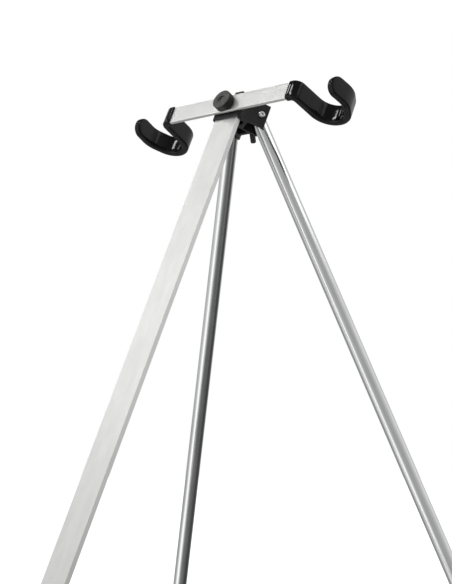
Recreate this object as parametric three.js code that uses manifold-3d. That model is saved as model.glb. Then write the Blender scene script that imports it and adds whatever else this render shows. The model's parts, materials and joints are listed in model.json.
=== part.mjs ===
// Surf rod tripod: a flat front leg and two folding, telescopic rear legs meet in a
// moulded hub. A flat crossbar with two sleeved rod rests swivels on the hub, and a
// lower bar with two butt cups slides on the front leg. Millimetres, +Z up.
import * as THREE from 'three';
import { mergeVertices } from 'three/addons/utils/BufferGeometryUtils.js';
import Module from 'manifold-3d';

const wasm = await Module();
wasm.setup();

// Shared clearances and facet counts
const GAP = 0.3;
const OVERRUN = 2;
const TUBE_SIDES = 24;
const SMALL_SIDES = 16;
const HEX_SIDES = 6;
const TIP_SIDES = 32;
const ARC_STEPS = 10;

// Stance of the open tripod
const HEAD_HEIGHT = 1100;
const FRONT_LEG_LEAN = THREE.MathUtils.degToRad(26.2);
const REAR_LEG_SPLAY = THREE.MathUtils.degToRad(30);
const REAR_LEG_OPEN = THREE.MathUtils.degToRad(42.1);

// Crossbar strip and its rod rests
const BAR_HEIGHT = 25;
const BAR_THICK = 4.5;
const BAR_BARE_HALF = 103;
const BAR_MIDDLE_FROM_CLAMP = 3.8;
const REST_SLEEVE_LEAD = 4.7;
const REST_FIRST_RADIUS = 7.7;
const REST_FIRST_TURN = THREE.MathUtils.degToRad(86.2);
const REST_INNER_ARM = 31.8;
const REST_CUP_RADIUS = 25.4;
const REST_CUP_TURN = THREE.MathUtils.degToRad(144.4);
const REST_OUTER_ARM = 10.5;
const REST_TIP_RADIUS = 27.6;
const REST_TIP_TURN = THREE.MathUtils.degToRad(38.4);
const REST_TIP_STRAIGHT = 11;
const SLEEVE_THICK = 9.8;
const SLEEVE_HEIGHT = 27.5;
const SLEEVE_ROUND = 2.6;
const SLEEVE_ROUND_STEPS = 2;
const SLEEVE_TIP_CAP = 1.2;

// Clamp at the centre of the crossbar
const WASHER_THICK = 1;
const WASHER_RADIUS = 10;
const STUD_RADIUS = 3;
const HOLE_SLACK = 0.4;
const STUD_HEAD_RADIUS = 5.7;
const STUD_HEAD_THICK = 4;
const KNOB_RADIUS = 13.8;
const KNOB_THICK = 10.3;
const KNOB_CHAMFER = 0.9;
const KNOB_NUT_RADIUS = 5.7;
const KNOB_NUT_THICK = 4;
const KNOB_NUT_SUNK = 1.6;
const KNOB_STUD_SUNK = 2.2;

// Flat front leg
const LEG_WIDTH = 40;
const LEG_THICK = 6.5;
const LEG_CORNER = 3;
const LEG_TOP = 12;
const LEG_SCREW_RADIUS = 2.5;
const LEG_SCREW_HEAD_RADIUS = 4.6;
const LEG_SCREW_HEAD_DEPTH = 2.2;
const LEG_SCREW_SPREAD = 15.2;
const FRONT_FOOT_WALL = 4;
const FRONT_FOOT_LENGTH = 70;
const FRONT_FOOT_SOLE = 14;

// Moulded hub
const HUB_HALF_HEIGHT = 17;
const HUB_FRONT_WALL = 3;
const HUB_SIDE_WALL = 4;
const HUB_TOP_WALL = 4.3;
const HUB_CORE_DEPTH = 8;
const HUB_BACK = 47.5;
const HUB_RIB = 3.5;
const HUB_EDGE_CHAMFER = 3.2;
const CHEEK_THICK = 4;
const CHEEK_BEHIND_HINGE = 8.5;
const HINGE_ASIDE = 22.65;
const HINGE_BEHIND = 41.35;
const TOP_LUG_WIDTH = 12.6;
const TOP_LUG_FRONT = 14;
const TOP_LUG_DEPTH = 14;
const TOP_LUG_HEIGHT = 30;
const TOP_LUG_CHAMFER = 2;
const REAR_LUG_WIDTH = 13;
const REAR_LUG_END = 65;
const REAR_LUG_THICK = 10;
const REAR_LUG_CHAMFER = 4;

// Hanging stud under the rear lug, for a ballast bag
const BALLAST_STUD_RADIUS = 2.5;
const BALLAST_TOP_BEHIND = 48.2;
const BALLAST_TOP_UP = 8.8;
const BALLAST_TILT = THREE.MathUtils.degToRad(37.5);
const BALLAST_LENGTH = 29.6;
const BALLAST_CAP_RADIUS = 3.7;
const BALLAST_CAP_LENGTH = 15.5;
const BALLAST_CAP_END = 2;
const BALLAST_CAP_TIP_SHARE = 0.6;
const BALLAST_CAP_ROUND_SHARE = 0.9;

// Rear leg tubes
const UPPER_TUBE_RADIUS = 9.5;
const UPPER_TUBE_WALL = 1.2;
const UPPER_TUBE_LENGTH = 720;
const TUBE_ABOVE_HINGE = 6.5;
const LOWER_TUBE_RADIUS = 8;
const LOWER_TUBE_WALL = 1;
const LOWER_TUBE_INSIDE_UPPER = 176;
const PLUG_LENGTH = 26;
const PLUG_FLANGE = 1.2;
const LOWER_PLUG_LENGTH = 16;
const LOWER_PLUG_FLANGE = 3;
const REAR_FOOT_WALL = 5;
const REAR_FOOT_LENGTH = 56;
const REAR_FOOT_SOLE = 16;

// Hinge screws through the hub's forks
const HINGE_SCREW_RADIUS = 2.5;
const HINGE_HEAD_RADIUS = 4.7;
const HINGE_HEAD_THICK = 2.4;
const HINGE_HEAD_ROUND = 1;
const HINGE_SOCKET_RADIUS = 2;
const HINGE_SOCKET_DEPTH = 1.6;
const HINGE_NUT_RADIUS = 4.6;
const HINGE_NUT_THICK = 4.6;
const HINGE_SCREW_PAST_NUT = 1.2;
const NUT_POCKET_SLACK = 0.8;
const NUT_POCKET_DEPTH = 9;

// Telescope locks
const COLLAR_WALL = 4;
const COLLAR_ON_UPPER = 26;
const COLLAR_ON_LOWER = 18;
const COLLAR_BOSS_RADIUS = 6.5;
const COLLAR_BOSS_LENGTH = 6;
const COLLAR_CHAMFER = 1.5;
const LOCK_STUD_RADIUS = 2.5;
const LOCK_KNOB_RADIUS = 9;
const LOCK_KNOB_THICK = 8;
const LOCK_KNOB_FLUTES = 6;
const LOCK_KNOB_FLUTE_RADIUS = 2.2;
const LOCK_STUD_IN_KNOB = 6;

// Lower bar with the butt cups
const BUTT_BAR_DOWN = 850;
const BUTT_BAR_CORNER = 3;
const CUP_RADIUS = 23;
const CUP_WALL = 2;
const CUP_BASE = 3;
const CUP_LENGTH = 95;
const CUP_BAR_SHARE = 0.5;
const CUP_PAD = 3;
const CUP_PAD_WIDTH = 22;
const CUP_SCREW_RADIUS = 2.5;
const CUP_SCREW_SPREAD = 12;
const CUP_SCREW_HEAD_RADIUS = 4.4;
const CUP_SCREW_HEAD_THICK = 2.2;
const BRACKET_WALL = 5;
const BRACKET_HEIGHT = 44;
const BRACKET_CORNER = 3;
const BRACKET_BOSS_RADIUS = 9;
const BRACKET_BOSS_LENGTH = 5;
const BRACKET_SCREW_RADIUS = 2.5;
const BRACKET_SCREW_SPREAD = 14;
const BRACKET_SCREW_HEAD_RADIUS = 4.4;
const BRACKET_SCREW_HEAD_THICK = 2.2;
const BRACKET_SCREW_BITE = 3.5;
const BUTT_STUD_RADIUS = 3;
const BUTT_KNOB_RADIUS = 9;
const BUTT_KNOB_THICK = 9;
const BUTT_STUD_IN_KNOB = 7;

// Places worked out from the sizes, in the face frame: x along the crossbar,
// y into the hub from the crossbar's front face, z up the front leg
const HUB_FRONT = BAR_THICK + GAP + WASHER_THICK + GAP;
const LEG_FRONT = HUB_FRONT + HUB_FRONT_WALL + GAP;
const LEG_BACK = LEG_FRONT + LEG_THICK;
const LEG_LENGTH = HEAD_HEIGHT / Math.cos(FRONT_LEG_LEAN);
const HUB_HALF_WIDTH = LEG_WIDTH / 2 + GAP + HUB_SIDE_WALL;
const CORE_BACK = LEG_BACK + GAP + HUB_CORE_DEPTH;
const FORK_GAP = UPPER_TUBE_RADIUS + GAP;
const FORK_OUTER = FORK_GAP + CHEEK_THICK;
const HUB_CEILING = HUB_HALF_HEIGHT - HUB_TOP_WALL;
const TUBE_END_ABOVE = TUBE_ABOVE_HINGE + PLUG_FLANGE + GAP;
const TUBE_SWEEP = Math.hypot(TUBE_END_ABOVE, UPPER_TUBE_RADIUS) + GAP;
const UPPER_TUBE_BORE = UPPER_TUBE_RADIUS - UPPER_TUBE_WALL;
const LOWER_TUBE_BORE = LOWER_TUBE_RADIUS - LOWER_TUBE_WALL;

const SIDES = [
  { name: 'right', sign: 1 },
  { name: 'left', sign: -1 },
];

// Finishes
const finish = (color, roughness, metalness) =>
  new THREE.MeshStandardMaterial({ color, roughness, metalness });
const brushedAluminium = finish(0xd4d6d8, 0.35, 1);
const polishedTube = finish(0xc9cbcd, 0.2, 1);
const steel = finish(0xb5b7ba, 0.3, 1);
const darkSteel = finish(0x3c3d3f, 0.45, 1);
const hubPlastic = finish(0x2b2b2c, 0.55, 0);
const knobPlastic = finish(0x242425, 0.5, 0);
const sleevePvc = finish(0x101011, 0.18, 0);
const rubber = finish(0x1a1a1a, 0.85, 0);
const nylon = finish(0xd9d7cf, 0.5, 0);

// Solid helpers
function solid(geometry, matrix = new THREE.Matrix4()) {
  const plain = geometry.clone().applyMatrix4(matrix);
  plain.deleteAttribute('normal');
  plain.deleteAttribute('uv');
  const merged = mergeVertices(plain);
  return new wasm.Manifold(new wasm.Mesh({
    numProp: 3,
    vertProperties: new Float32Array(merged.attributes.position.array),
    triVerts: new Uint32Array(merged.index.array),
  }));
}

function shapeOf(manifold) {
  const mesh = manifold.getMesh();
  const geometry = new THREE.BufferGeometry();
  geometry.setAttribute('position', new THREE.BufferAttribute(mesh.vertProperties, 3));
  geometry.setIndex(new THREE.BufferAttribute(mesh.triVerts, 1));
  geometry.computeVertexNormals();
  return geometry;
}

function joined(parts) {
  return parts.reduce((whole, part) => whole.add(part));
}

function without(body, cuts) {
  return cuts.reduce((rest, cut) => rest.subtract(cut), body);
}

function moved(x, y, z) {
  return new THREE.Matrix4().makeTranslation(x, y, z);
}

// Upright prism over an outline of [x, y] points
function drawn(points) {
  return new THREE.Shape(points.map(([x, y]) => new THREE.Vector2(x, y)));
}

function prism(points, low, high) {
  const geometry = new THREE.ExtrudeGeometry(drawn(points), { depth: high - low, bevelEnabled: false });
  return geometry.translate(0, 0, low);
}

function block(left, right, front, back, low, high) {
  return prism([[left, front], [right, front], [right, back], [left, back]], low, high);
}

// Rectangle with round corners as [x, y] points
function roundedOutline(halfX, halfY, radius) {
  const centres = [
    [halfX - radius, halfY - radius],
    [radius - halfX, halfY - radius],
    [radius - halfX, radius - halfY],
    [halfX - radius, radius - halfY],
  ];
  const points = [];
  centres.forEach(([cx, cy], quarter) => {
    for (let step = 0; step <= ARC_STEPS / 2; step += 1) {
      const angle = (quarter + step / (ARC_STEPS / 2)) * Math.PI / 2;
      points.push([cx + radius * Math.cos(angle), cy + radius * Math.sin(angle)]);
    }
  });
  return points;
}

// Lathe about Z from [radius, z] points
function turned(profile, sides = TUBE_SIDES) {
  const points = profile.map(([radius, z]) => new THREE.Vector2(radius, z));
  return new THREE.LatheGeometry(points, sides).rotateX(Math.PI / 2);
}

function rod(radius, low, high, sides = SMALL_SIDES) {
  return turned([[0, low], [radius, low], [radius, high], [0, high]], sides);
}

function pipe(outer, bore, low, high) {
  return turned([[bore, low], [outer, low], [outer, high], [bore, high], [bore, low]]);
}

// Round or six-sided rod whose axis runs along Y from front to back
function alongY(radius, front, back, sides = SMALL_SIDES) {
  return rod(radius, front, back, sides).rotateX(-Math.PI / 2);
}

// Round or six-sided rod whose axis runs along X
function alongX(radius, from, to, sides = SMALL_SIDES) {
  return rod(radius, from, to, sides).rotateY(Math.PI / 2);
}

function addMesh(parent, name, geometry, material) {
  const mesh = new THREE.Mesh(geometry, material);
  mesh.name = name;
  parent.add(mesh);
  return mesh;
}

// Groups that carry the pieces
const stand = new THREE.Group();
const head = new THREE.Group();
head.position.set(0, 0, HEAD_HEIGHT);
head.rotation.x = -FRONT_LEG_LEAN;
stand.add(head);
const crossbarGroup = new THREE.Group();
crossbarGroup.position.x = BAR_MIDDLE_FROM_CLAMP;
head.add(crossbarGroup);

const hingeGroups = {};
const legGroups = {};
for (const { name, sign } of SIDES) {
  const hinge = new THREE.Group();
  hinge.position.set(sign * HINGE_ASIDE, HINGE_BEHIND, 0);
  hinge.rotation.z = -sign * REAR_LEG_SPLAY;
  head.add(hinge);
  const leg = new THREE.Group();
  leg.rotation.x = REAR_LEG_OPEN;
  hinge.add(leg);
  hingeGroups[name] = hinge;
  legGroups[name] = leg;
}
stand.updateMatrixWorld(true);

function hingeMatrix(name) {
  const hinge = hingeGroups[name];
  hinge.updateMatrix();
  return hinge.matrix;
}

// Centre line of the right-hand half of the crossbar: [x, y, heading]. It ends at
// the centre of the strip's round tip
function restPath() {
  const path = [[0, 0, 0], [BAR_BARE_HALF, 0, 0]];
  const arc = (radius, turn) => {
    const [x, y, heading] = path[path.length - 1];
    const bend = Math.sign(turn) * radius;
    const cx = x - bend * Math.sin(heading);
    const cy = y + bend * Math.cos(heading);
    for (let step = 1; step <= ARC_STEPS; step += 1) {
      const angle = heading + turn * step / ARC_STEPS;
      path.push([cx + bend * Math.sin(angle), cy - bend * Math.cos(angle), angle]);
    }
  };
  const straight = (length) => {
    const [x, y, heading] = path[path.length - 1];
    path.push([x + length * Math.cos(heading), y + length * Math.sin(heading), heading]);
  };
  straight(REST_SLEEVE_LEAD);
  arc(REST_FIRST_RADIUS, REST_FIRST_TURN);
  straight(REST_INNER_ARM);
  const cupStart = path[path.length - 1];
  arc(REST_CUP_RADIUS, -REST_CUP_TURN);
  straight(REST_OUTER_ARM);
  arc(REST_TIP_RADIUS, -REST_TIP_TURN);
  straight(REST_TIP_STRAIGHT);
  return { path, cupStart };
}

function aside([x, y, heading], distance) {
  return [x - distance * Math.sin(heading), y + distance * Math.cos(heading)];
}

// Flat band that follows the path, half a width to each side
function band(path, half) {
  const near = path.map((point) => aside(point, -half));
  const far = path.map((point) => aside(point, half)).reverse();
  return near.concat(far);
}

const { path: rightPath, cupStart } = restPath();
const barCentre = BAR_THICK / 2;
const [tipX, tipY, tipHeading] = rightPath[rightPath.length - 1];

// A point of the path's line drawn on past the tip's centre
function pastTip(distance) {
  return [
    tipX + distance * Math.cos(tipHeading), tipY + distance * Math.sin(tipHeading), tipHeading,
  ];
}

// What a round tip of this radius leaves of a square end, seen square to the strip's face
function tipCorners(along, radius) {
  const across = SLEEVE_THICK;
  const [x, y, heading] = pastTip(along);
  const square = solid(block(0, radius + OVERRUN, -across, across, -radius - OVERRUN, radius + OVERRUN));
  const corners = square.subtract(solid(alongY(radius, -across - OVERRUN, across + OVERRUN, TIP_SIDES)));
  const place = moved(x, y + barCentre, 0).multiply(new THREE.Matrix4().makeRotationZ(heading));
  return corners.transform(place.elements);
}

function buildCrossbar() {
  const tipRadius = BAR_HEIGHT / 2;
  const rightEnd = rightPath.concat([pastTip(tipRadius)]);
  const leftEnd = rightEnd.slice(1).reverse().map(([x, y, heading]) => [-x, y, -heading]);
  const outline = band(leftEnd.concat(rightEnd), BAR_THICK / 2);
  const strip = solid(prism(outline, -tipRadius, tipRadius), moved(0, barCentre, 0));
  const hole = solid(
    alongY(STUD_RADIUS + HOLE_SLACK, -OVERRUN, BAR_THICK + OVERRUN),
    moved(-BAR_MIDDLE_FROM_CLAMP, 0, 0),
  );
  const corners = tipCorners(0, tipRadius);
  const crossbar = without(strip, [hole, corners, corners.mirror([1, 0, 0])]);
  addMesh(crossbarGroup, 'crossbar', shapeOf(crossbar), brushedAluminium);
}

function buildSleeves() {
  const arms = rightPath.slice(1);
  const tipRadius = SLEEVE_HEIGHT / 2;
  const outline = band(arms.concat([pastTip(SLEEVE_TIP_CAP + tipRadius)]), SLEEVE_THICK / 2);
  const outer = new THREE.ExtrudeGeometry(drawn(outline), {
    depth: SLEEVE_HEIGHT - 2 * SLEEVE_ROUND,
    bevelEnabled: true,
    bevelThickness: SLEEVE_ROUND,
    bevelSize: SLEEVE_ROUND,
    bevelOffset: -SLEEVE_ROUND,
    bevelSegments: SLEEVE_ROUND_STEPS,
  }).translate(0, barCentre, SLEEVE_ROUND - tipRadius);
  const boreRadius = BAR_HEIGHT / 2 + GAP;
  const before = [BAR_BARE_HALF - SLEEVE_THICK, 0, 0];
  const core = band([before].concat(arms, [pastTip(boreRadius)]), BAR_THICK / 2 + GAP);
  const square = solid(prism(core, -boreRadius, boreRadius), moved(0, barCentre, 0));
  const bore = square.subtract(tipCorners(0, boreRadius));
  const right = without(solid(outer), [bore, tipCorners(SLEEVE_TIP_CAP, tipRadius)]);
  addMesh(crossbarGroup, 'rest_sleeve_right', shapeOf(right), sleevePvc);
  addMesh(crossbarGroup, 'rest_sleeve_left', shapeOf(right.mirror([1, 0, 0])), sleevePvc);
}

function buildClamp() {
  const washerFront = BAR_THICK + GAP;
  const washer = pipe(WASHER_RADIUS, STUD_RADIUS + HOLE_SLACK, washerFront, washerFront + WASHER_THICK);
  addMesh(head, 'friction_washer', washer.rotateX(-Math.PI / 2), nylon);

  const knobBack = -GAP;
  const knobFront = knobBack - KNOB_THICK;
  const knobBody = turned([
    [0, knobFront],
    [KNOB_RADIUS - KNOB_CHAMFER, knobFront],
    [KNOB_RADIUS, knobFront + KNOB_CHAMFER],
    [KNOB_RADIUS, knobBack - KNOB_CHAMFER],
    [KNOB_RADIUS - KNOB_CHAMFER, knobBack],
    [0, knobBack],
  ]).rotateX(-Math.PI / 2);
  const nutBack = knobFront + KNOB_NUT_SUNK + KNOB_NUT_THICK;
  const knob = without(solid(knobBody), [
    solid(alongY(STUD_RADIUS + HOLE_SLACK, knobFront, knobBack + OVERRUN)),
    solid(alongY(KNOB_NUT_RADIUS + GAP, knobFront - OVERRUN, nutBack + GAP, HEX_SIDES)),
  ]);
  addMesh(head, 'clamp_knob', shapeOf(knob), knobPlastic);

  const nut = without(
    solid(alongY(KNOB_NUT_RADIUS, knobFront + KNOB_NUT_SUNK, nutBack, HEX_SIDES)),
    [solid(alongY(STUD_RADIUS + GAP, knobFront, nutBack + OVERRUN))],
  );
  addMesh(head, 'clamp_knob_nut', shapeOf(nut), darkSteel);

  const headFront = LEG_BACK + GAP;
  const stud = joined([
    solid(alongY(STUD_RADIUS, knobFront + KNOB_STUD_SUNK, headFront + STUD_HEAD_THICK)),
    solid(alongY(STUD_HEAD_RADIUS, headFront, headFront + STUD_HEAD_THICK, HEX_SIDES)),
  ]);
  addMesh(head, 'clamp_stud', shapeOf(stud), darkSteel);
}

function countersunk(x) {
  const tip = LEG_BACK - GAP;
  return turned([
    [0, HUB_FRONT],
    [LEG_SCREW_HEAD_RADIUS, HUB_FRONT],
    [LEG_SCREW_RADIUS, HUB_FRONT + LEG_SCREW_HEAD_DEPTH],
    [LEG_SCREW_RADIUS, tip],
    [0, tip],
  ], SMALL_SIDES).rotateX(-Math.PI / 2).translate(x, 0, 0);
}

function countersunkHole(x) {
  const face = HUB_FRONT - GAP;
  return turned([
    [0, face],
    [LEG_SCREW_HEAD_RADIUS + GAP * 2, face],
    [LEG_SCREW_RADIUS + GAP, face + LEG_SCREW_HEAD_DEPTH + GAP],
    [LEG_SCREW_RADIUS + GAP, LEG_BACK + OVERRUN],
    [0, LEG_BACK + OVERRUN],
  ], SMALL_SIDES).rotateX(-Math.PI / 2).translate(x, 0, 0);
}

function buildHub() {
  const low = -HUB_HALF_HEIGHT;
  const high = HUB_HALF_HEIGHT;
  const cos = Math.cos(REAR_LEG_SPLAY);
  const sin = Math.sin(REAR_LEG_SPLAY);
  // A place in the plan, from the hinge: out along its axis, back along its cheek
  const fromHinge = (out, back) => [
    HINGE_ASIDE + out * cos + back * sin,
    HINGE_BEHIND - out * sin + back * cos,
  ];
  const cheekFront = (HUB_HALF_WIDTH - fromHinge(FORK_OUTER, 0)[0]) / sin;
  const outline = [
    [HUB_HALF_WIDTH - HUB_EDGE_CHAMFER, HUB_FRONT],
    [HUB_HALF_WIDTH, HUB_FRONT + HUB_EDGE_CHAMFER],
    fromHinge(FORK_OUTER, cheekFront),
    fromHinge(FORK_OUTER, CHEEK_BEHIND_HINGE),
    fromHinge(FORK_GAP, CHEEK_BEHIND_HINGE),
    fromHinge(-FORK_GAP, CHEEK_BEHIND_HINGE),
    fromHinge(-FORK_OUTER, CHEEK_BEHIND_HINGE),
    [fromHinge(-FORK_OUTER, 0)[0] + (HUB_BACK - fromHinge(-FORK_OUTER, 0)[1]) * sin / cos, HUB_BACK],
  ];
  const mirrored = outline.map(([x, y]) => [-x, y]).reverse();
  const body = solid(prism(outline.concat(mirrored), low, high));

  const frontTopCut = prism([
    [-HUB_EDGE_CHAMFER, -HUB_EDGE_CHAMFER * 2],
    [HUB_EDGE_CHAMFER * 2, HUB_EDGE_CHAMFER],
    [-HUB_EDGE_CHAMFER, HUB_EDGE_CHAMFER],
  ], -HUB_HALF_WIDTH - OVERRUN, HUB_HALF_WIDTH + OVERRUN);
  const edgeEuler = new THREE.Euler(Math.PI / 2, 0, Math.PI / 2, 'ZXY');
  const edgeTurn = new THREE.Matrix4().makeRotationFromEuler(edgeEuler);
  const edgeCut = solid(frontTopCut, moved(0, HUB_FRONT, high).multiply(edgeTurn));

  const topLug = solid(prism([
    [TOP_LUG_FRONT, 0],
    [TOP_LUG_FRONT + TOP_LUG_DEPTH, 0],
    [TOP_LUG_FRONT + TOP_LUG_DEPTH, TOP_LUG_HEIGHT - TOP_LUG_CHAMFER * 2],
    [TOP_LUG_FRONT + TOP_LUG_DEPTH - TOP_LUG_CHAMFER * 2, TOP_LUG_HEIGHT],
    [TOP_LUG_FRONT + TOP_LUG_CHAMFER / 2, TOP_LUG_HEIGHT],
    [TOP_LUG_FRONT, TOP_LUG_HEIGHT - TOP_LUG_CHAMFER / 2],
  ], -TOP_LUG_WIDTH / 2, TOP_LUG_WIDTH / 2), sideways())
    .intersect(solid(block(
      -TOP_LUG_WIDTH, TOP_LUG_WIDTH, TOP_LUG_FRONT - OVERRUN, HUB_BACK,
      high - HUB_TOP_WALL / 2, TOP_LUG_HEIGHT + OVERRUN,
    )));

  const lugLow = high - REAR_LUG_THICK;
  const rearLug = solid(prism([
    [HUB_BACK - HUB_RIB, lugLow],
    [REAR_LUG_END - REAR_LUG_CHAMFER, lugLow],
    [REAR_LUG_END, lugLow + REAR_LUG_CHAMFER],
    [REAR_LUG_END, high - REAR_LUG_CHAMFER],
    [REAR_LUG_END - REAR_LUG_CHAMFER, high],
    [HUB_BACK - HUB_RIB, high],
  ], -REAR_LUG_WIDTH / 2, REAR_LUG_WIDTH / 2), sideways());

  const legSlot = block(
    -LEG_WIDTH / 2 - GAP, LEG_WIDTH / 2 + GAP, LEG_FRONT - GAP, LEG_BACK + GAP, low - OVERRUN, LEG_TOP + GAP,
  );
  const headRoom = LEG_BACK + GAP + STUD_HEAD_THICK + GAP;
  const cuts = [
    edgeCut,
    solid(legSlot),
    solid(alongY(STUD_RADIUS + HOLE_SLACK, HUB_FRONT - OVERRUN, headRoom)),
    solid(alongY(STUD_HEAD_RADIUS + GAP, LEG_BACK - GAP, headRoom, HEX_SIDES)),
    solid(countersunkHole(LEG_SCREW_SPREAD)),
    solid(countersunkHole(-LEG_SCREW_SPREAD)),
    ballastHole(),
  ];

  // Fork pockets, with a ledge left under the ceiling that stops each open leg
  // and just clears the tube's end while it folds
  const ledgeFront = (TUBE_END_ABOVE + GAP) * Math.tan(REAR_LEG_OPEN / 2);
  for (const { name, sign } of SIDES) {
    const place = hingeMatrix(name);
    const pocket = solid(block(
      -FORK_GAP, FORK_GAP, -TUBE_SWEEP - GAP, HUB_BACK, low - OVERRUN, HUB_CEILING,
    ), place);
    const stopTilt = new THREE.Matrix4().makeRotationX(REAR_LEG_OPEN);
    const ledge = solid(block(
      -FORK_GAP - GAP, FORK_GAP + GAP, ledgeFront, TUBE_SWEEP * 2, TUBE_END_ABOVE + GAP, HUB_BACK,
    ), place.clone().multiply(stopTilt));
    const ledgeRoof = solid(block(
      -FORK_GAP - GAP, FORK_GAP + GAP, -TUBE_SWEEP, CHEEK_BEHIND_HINGE, TUBE_END_ABOVE + GAP, high,
    ), place);
    cuts.push(pocket.subtract(ledge.intersect(ledgeRoof)));
    cuts.push(solid(alongX(HINGE_SCREW_RADIUS + GAP, -HUB_BACK, HUB_BACK / 2), place)
      .intersect(solid(block(-sign * OVERRUN, sign * HUB_BACK * 2, 0, HUB_BACK * 2, low, high))));
    const nutSeat = -sign * FORK_OUTER;
    const nutMouth = -sign * (FORK_OUTER + NUT_POCKET_DEPTH);
    cuts.push(solid(alongX(
      HINGE_NUT_RADIUS + NUT_POCKET_SLACK, Math.min(nutSeat, nutMouth), Math.max(nutSeat, nutMouth),
    ), place));
  }

  // Open cells under the hub, between ribs
  const cellTip = fromHinge(-FORK_OUTER, 0);
  const cellBack = HUB_BACK - HUB_RIB;
  const cellHalf = cellTip[0] + (cellBack - cellTip[1]) * sin / cos;
  const cellFront = CORE_BACK + HUB_RIB;
  const cellFrontHalf = Math.max(HUB_RIB / 2, cellHalf - (cellBack - cellFront) * sin / cos);
  cuts.push(solid(prism([
    [-cellFrontHalf, cellFront],
    [cellFrontHalf, cellFront],
    [cellHalf, cellBack],
    [-cellHalf, cellBack],
  ], low - OVERRUN, HUB_CEILING)));
  const cellLeft = STUD_HEAD_RADIUS + HUB_RIB;
  for (const { sign } of SIDES) {
    const cell = [
      [cellLeft, LEG_BACK + GAP + HUB_RIB],
      [LEG_WIDTH / 2 - HUB_RIB / 2, LEG_BACK + GAP + HUB_RIB],
      [LEG_WIDTH / 2 - HUB_RIB / 2, CORE_BACK],
      [cellLeft, CORE_BACK + HUB_RIB],
    ].map(([x, y]) => [sign * x, y]);
    cuts.push(solid(prism(sign > 0 ? cell : cell.reverse(), low - OVERRUN, HUB_CEILING)));
  }

  const hub = without(joined([body, topLug, rearLug]), cuts);
  addMesh(head, 'hub', shapeOf(hub), hubPlastic);
}

// Turns a prism drawn as [y, z] points and raised along x into the face frame
function sideways() {
  return new THREE.Matrix4().makeBasis(
    new THREE.Vector3(0, 1, 0),
    new THREE.Vector3(0, 0, 1),
    new THREE.Vector3(1, 0, 0),
  );
}

function ballastMatrix() {
  return moved(0, BALLAST_TOP_BEHIND, BALLAST_TOP_UP)
    .multiply(new THREE.Matrix4().makeRotationX(BALLAST_TILT));
}

function ballastHole() {
  return solid(rod(BALLAST_STUD_RADIUS + GAP, -REAR_LUG_THICK * 2, GAP), ballastMatrix());
}

function buildBallastStud() {
  const stud = addMesh(head, 'ballast_stud', rod(BALLAST_STUD_RADIUS, -BALLAST_LENGTH, 0), steel);
  stud.applyMatrix4(ballastMatrix());
  const end = -BALLAST_LENGTH - GAP - BALLAST_CAP_END;
  const capTop = end + BALLAST_CAP_LENGTH;
  const cap = turned([
    [0, end],
    [BALLAST_CAP_RADIUS * BALLAST_CAP_TIP_SHARE, end],
    [BALLAST_CAP_RADIUS * BALLAST_CAP_ROUND_SHARE, end + BALLAST_CAP_END / 2],
    [BALLAST_CAP_RADIUS, end + BALLAST_CAP_END],
    [BALLAST_CAP_RADIUS, capTop],
    [BALLAST_STUD_RADIUS + GAP, capTop],
    [BALLAST_STUD_RADIUS + GAP, end + BALLAST_CAP_END],
    [0, end + BALLAST_CAP_END],
  ], SMALL_SIDES);
  addMesh(head, 'ballast_cap', cap, rubber).applyMatrix4(ballastMatrix());
}

function buildFrontLeg() {
  const footLift = FRONT_FOOT_SOLE / Math.cos(FRONT_LEG_LEAN)
    + LEG_BACK * Math.tan(FRONT_LEG_LEAN);
  const bottom = -LEG_LENGTH + footLift;
  const flat = solid(block(-LEG_WIDTH / 2, LEG_WIDTH / 2, LEG_FRONT, LEG_BACK, bottom, LEG_TOP));
  const leg = without(flat, [
    solid(alongY(STUD_RADIUS + HOLE_SLACK, LEG_FRONT - OVERRUN, LEG_BACK + OVERRUN)),
    solid(countersunkHole(LEG_SCREW_SPREAD)),
    solid(countersunkHole(-LEG_SCREW_SPREAD)),
  ]);
  addMesh(head, 'front_leg', shapeOf(leg), brushedAluminium);

  for (const { name, sign } of SIDES) {
    addMesh(head, `leg_screw_${name}`, countersunk(sign * LEG_SCREW_SPREAD), darkSteel);
  }

  const footTop = bottom + FRONT_FOOT_LENGTH - FRONT_FOOT_SOLE;
  const reach = bottom - FRONT_FOOT_SOLE * 2;
  const bootOutline = roundedOutline(
    LEG_WIDTH / 2 + GAP + FRONT_FOOT_WALL,
    LEG_THICK / 2 + GAP + FRONT_FOOT_WALL,
    LEG_CORNER + FRONT_FOOT_WALL / 2,
  );
  const boot = prism(bootOutline, reach, footTop).translate(0, (LEG_FRONT + LEG_BACK) / 2, 0);
  const slot = block(
    -LEG_WIDTH / 2 - GAP, LEG_WIDTH / 2 + GAP, LEG_FRONT - GAP, LEG_BACK + GAP,
    bottom - GAP, footTop + OVERRUN,
  );
  const foot = without(solid(boot, head.matrixWorld), [solid(slot, head.matrixWorld), ground()]);
  addMesh(stand, 'front_foot', shapeOf(foot), rubber);
}

// Everything below the ground, which trims the rubber feet level
function ground() {
  return solid(block(-HEAD_HEIGHT, HEAD_HEIGHT, -HEAD_HEIGHT, HEAD_HEIGHT, -HEAD_HEIGHT, 0));
}

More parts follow.
